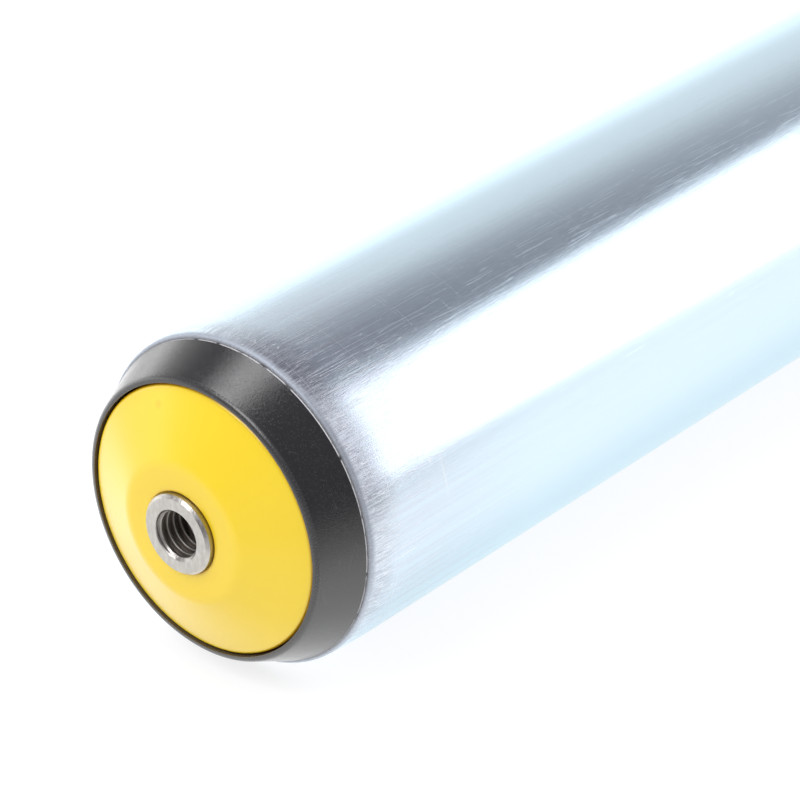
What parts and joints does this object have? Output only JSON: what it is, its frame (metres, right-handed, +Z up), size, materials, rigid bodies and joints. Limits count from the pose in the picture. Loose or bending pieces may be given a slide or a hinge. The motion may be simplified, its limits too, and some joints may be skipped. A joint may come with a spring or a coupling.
{
  "type": "conveyor roller",
  "caption": "Straight conveyor roller: plated steel tube on sealed ball bearings, coned plastic ends, round shaft with tapped ends.",
  "frame": {"origin": "middle of the roller, on its axis", "axes": "+Y along the roller's axis, from end a to end b; +Z up; X and Z are alike"},
  "size_m": [0.05, 0.3, 0.05],
  "materials": {
    "plated_tube": "satin zinc plate",
    "shaft_steel": "bright machined",
    "housing_plastic": "fine grained polyamide",
    "cap_plastic": "semi-gloss polypropylene",
    "bearing_steel": "ground",
    "shield_steel": "pressed",
    "cage_plastic": "natural polyamide",
    "seal_plastic": "moulded",
    "spring_steel": "phosphated"
  },
  "bodies": {
    "shaft": {"shaft": "shaft_steel", "seal_cap_a": "cap_plastic", "seal_cap_b": "cap_plastic", "inner_race_a": "bearing_steel", "inner_race_b": "bearing_steel", "retaining_ring_a": "spring_steel", "retaining_ring_b": "spring_steel"},
    "roller": {"tube": "plated_tube", "bearing_housing_a": "housing_plastic", "bearing_housing_b": "housing_plastic", "outer_race_a": "bearing_steel", "outer_race_b": "bearing_steel", "outer_shield_a": "shield_steel", "outer_shield_b": "shield_steel", "inner_shield_a": "shield_steel", "inner_shield_b": "shield_steel", "inner_seal_a": "seal_plastic", "inner_seal_b": "seal_plastic"},
    "ball_cage_a": {"ball_cage_a": "cage_plastic"},
    "ball_cage_b": {"ball_cage_b": "cage_plastic"},
    "ball_a1": {"ball_a1": "bearing_steel"},
    "ball_a2": {"ball_a2": "bearing_steel"},
    "ball_a3": {"ball_a3": "bearing_steel"},
    "ball_a4": {"ball_a4": "bearing_steel"},
    "ball_a5": {"ball_a5": "bearing_steel"},
    "ball_a6": {"ball_a6": "bearing_steel"},
    "ball_a7": {"ball_a7": "bearing_steel"},
    "ball_a8": {"ball_a8": "bearing_steel"},
    "ball_a9": {"ball_a9": "bearing_steel"},
    "ball_b1": {"ball_b1": "bearing_steel"},
    "ball_b2": {"ball_b2": "bearing_steel"},
    "ball_b3": {"ball_b3": "bearing_steel"},
    "ball_b4": {"ball_b4": "bearing_steel"},
    "ball_b5": {"ball_b5": "bearing_steel"},
    "ball_b6": {"ball_b6": "bearing_steel"},
    "ball_b7": {"ball_b7": "bearing_steel"},
    "ball_b8": {"ball_b8": "bearing_steel"},
    "ball_b9": {"ball_b9": "bearing_steel"}
  },
  "joints": [
    {"name": "roller_spin", "type": "hinge", "parent": "shaft", "child": "roller", "pos_m": [0, 0, 0], "axis": [0, 1, 0], "continuous": true},
    {"name": "ball_cage_a_spin", "type": "hinge", "parent": "shaft", "child": "ball_cage_a", "pos_m": [0, -0.1325, 0], "axis": [0, 1, 0], "continuous": true},
    {"name": "ball_cage_b_spin", "type": "hinge", "parent": "shaft", "child": "ball_cage_b", "pos_m": [0, 0.1325, 0], "axis": [0, 1, 0], "continuous": true},
    {"name": "ball_a1_roll", "type": "hinge", "parent": "ball_cage_a", "child": "ball_a1", "pos_m": [0.009, -0.1325, 0.00755], "axis": [0, 1, 0], "continuous": true},
    {"name": "ball_a2_roll", "type": "hinge", "parent": "ball_cage_a", "child": "ball_a2", "pos_m": [0.00204, -0.1325, 0.01157], "axis": [0, 1, 0], "continuous": true},
    {"name": "ball_a3_roll", "type": "hinge", "parent": "ball_cage_a", "child": "ball_a3", "pos_m": [-0.00588, -0.1325, 0.01018], "axis": [0, 1, 0], "continuous": true},
    {"name": "ball_a4_roll", "type": "hinge", "parent": "ball_cage_a", "child": "ball_a4", "pos_m": [-0.01104, -0.1325, 0.00402], "axis": [0, 1, 0], "continuous": true},
    {"name": "ball_a5_roll", "type": "hinge", "parent": "ball_cage_a", "child": "ball_a5", "pos_m": [-0.01104, -0.1325, -0.00402], "axis": [0, 1, 0], "continuous": true},
    {"name": "ball_a6_roll", "type": "hinge", "parent": "ball_cage_a", "child": "ball_a6", "pos_m": [-0.00588, -0.1325, -0.01018], "axis": [0, 1, 0], "continuous": true},
    {"name": "ball_a7_roll", "type": "hinge", "parent": "ball_cage_a", "child": "ball_a7", "pos_m": [0.00204, -0.1325, -0.01157], "axis": [0, 1, 0], "continuous": true},
    {"name": "ball_a8_roll", "type": "hinge", "parent": "ball_cage_a", "child": "ball_a8", "pos_m": [0.009, -0.1325, -0.00755], "axis": [0, 1, 0], "continuous": true},
    {"name": "ball_a9_roll", "type": "hinge", "parent": "ball_cage_a", "child": "ball_a9", "pos_m": [0.01175, -0.1325, 0], "axis": [0, 1, 0], "continuous": true},
    {"name": "ball_b1_roll", "type": "hinge", "parent": "ball_cage_b", "child": "ball_b1", "pos_m": [0.009, 0.1325, -0.00755], "axis": [0, 1, 0], "continuous": true},
    {"name": "ball_b2_roll", "type": "hinge", "parent": "ball_cage_b", "child": "ball_b2", "pos_m": [0.00204, 0.1325, -0.01157], "axis": [0, 1, 0], "continuous": true},
    {"name": "ball_b3_roll", "type": "hinge", "parent": "ball_cage_b", "child": "ball_b3", "pos_m": [-0.00588, 0.1325, -0.01018], "axis": [0, 1, 0], "continuous": true},
    {"name": "ball_b4_roll", "type": "hinge", "parent": "ball_cage_b", "child": "ball_b4", "pos_m": [-0.01104, 0.1325, -0.00402], "axis": [0, 1, 0], "continuous": true},
    {"name": "ball_b5_roll", "type": "hinge", "parent": "ball_cage_b", "child": "ball_b5", "pos_m": [-0.01104, 0.1325, 0.00402], "axis": [0, 1, 0], "continuous": true},
    {"name": "ball_b6_roll", "type": "hinge", "parent": "ball_cage_b", "child": "ball_b6", "pos_m": [-0.00588, 0.1325, 0.01018], "axis": [0, 1, 0], "continuous": true},
    {"name": "ball_b7_roll", "type": "hinge", "parent": "ball_cage_b", "child": "ball_b7", "pos_m": [0.00204, 0.1325, 0.01157], "axis": [0, 1, 0], "continuous": true},
    {"name": "ball_b8_roll", "type": "hinge", "parent": "ball_cage_b", "child": "ball_b8", "pos_m": [0.009, 0.1325, 0.00755], "axis": [0, 1, 0], "continuous": true},
    {"name": "ball_b9_roll", "type": "hinge", "parent": "ball_cage_b", "child": "ball_b9", "pos_m": [0.01175, 0.1325, 0], "axis": [0, 1, 0], "continuous": true}
  ],
  "couplings": [
    {"joint": "ball_cage_a_spin", "follows": "roller_spin", "ratio": 0.60132},
    {"joint": "ball_cage_b_spin", "follows": "roller_spin", "ratio": 0.60132},
    {"joint": "ball_a1_roll", "follows": "roller_spin", "ratio": 2.3661},
    {"joint": "ball_a2_roll", "follows": "roller_spin", "ratio": 2.3661},
    {"joint": "ball_a3_roll", "follows": "roller_spin", "ratio": 2.3661},
    {"joint": "ball_a4_roll", "follows": "roller_spin", "ratio": 2.3661},
    {"joint": "ball_a5_roll", "follows": "roller_spin", "ratio": 2.3661},
    {"joint": "ball_a6_roll", "follows": "roller_spin", "ratio": 2.3661},
    {"joint": "ball_a7_roll", "follows": "roller_spin", "ratio": 2.3661},
    {"joint": "ball_a8_roll", "follows": "roller_spin", "ratio": 2.3661},
    {"joint": "ball_a9_roll", "follows": "roller_spin", "ratio": 2.3661},
    {"joint": "ball_b1_roll", "follows": "roller_spin", "ratio": 2.3661},
    {"joint": "ball_b2_roll", "follows": "roller_spin", "ratio": 2.3661},
    {"joint": "ball_b3_roll", "follows": "roller_spin", "ratio": 2.3661},
    {"joint": "ball_b4_roll", "follows": "roller_spin", "ratio": 2.3661},
    {"joint": "ball_b5_roll", "follows": "roller_spin", "ratio": 2.3661},
    {"joint": "ball_b6_roll", "follows": "roller_spin", "ratio": 2.3661},
    {"joint": "ball_b7_roll", "follows": "roller_spin", "ratio": 2.3661},
    {"joint": "ball_b8_roll", "follows": "roller_spin", "ratio": 2.3661},
    {"joint": "ball_b9_roll", "follows": "roller_spin", "ratio": 2.3661}
  ]
}
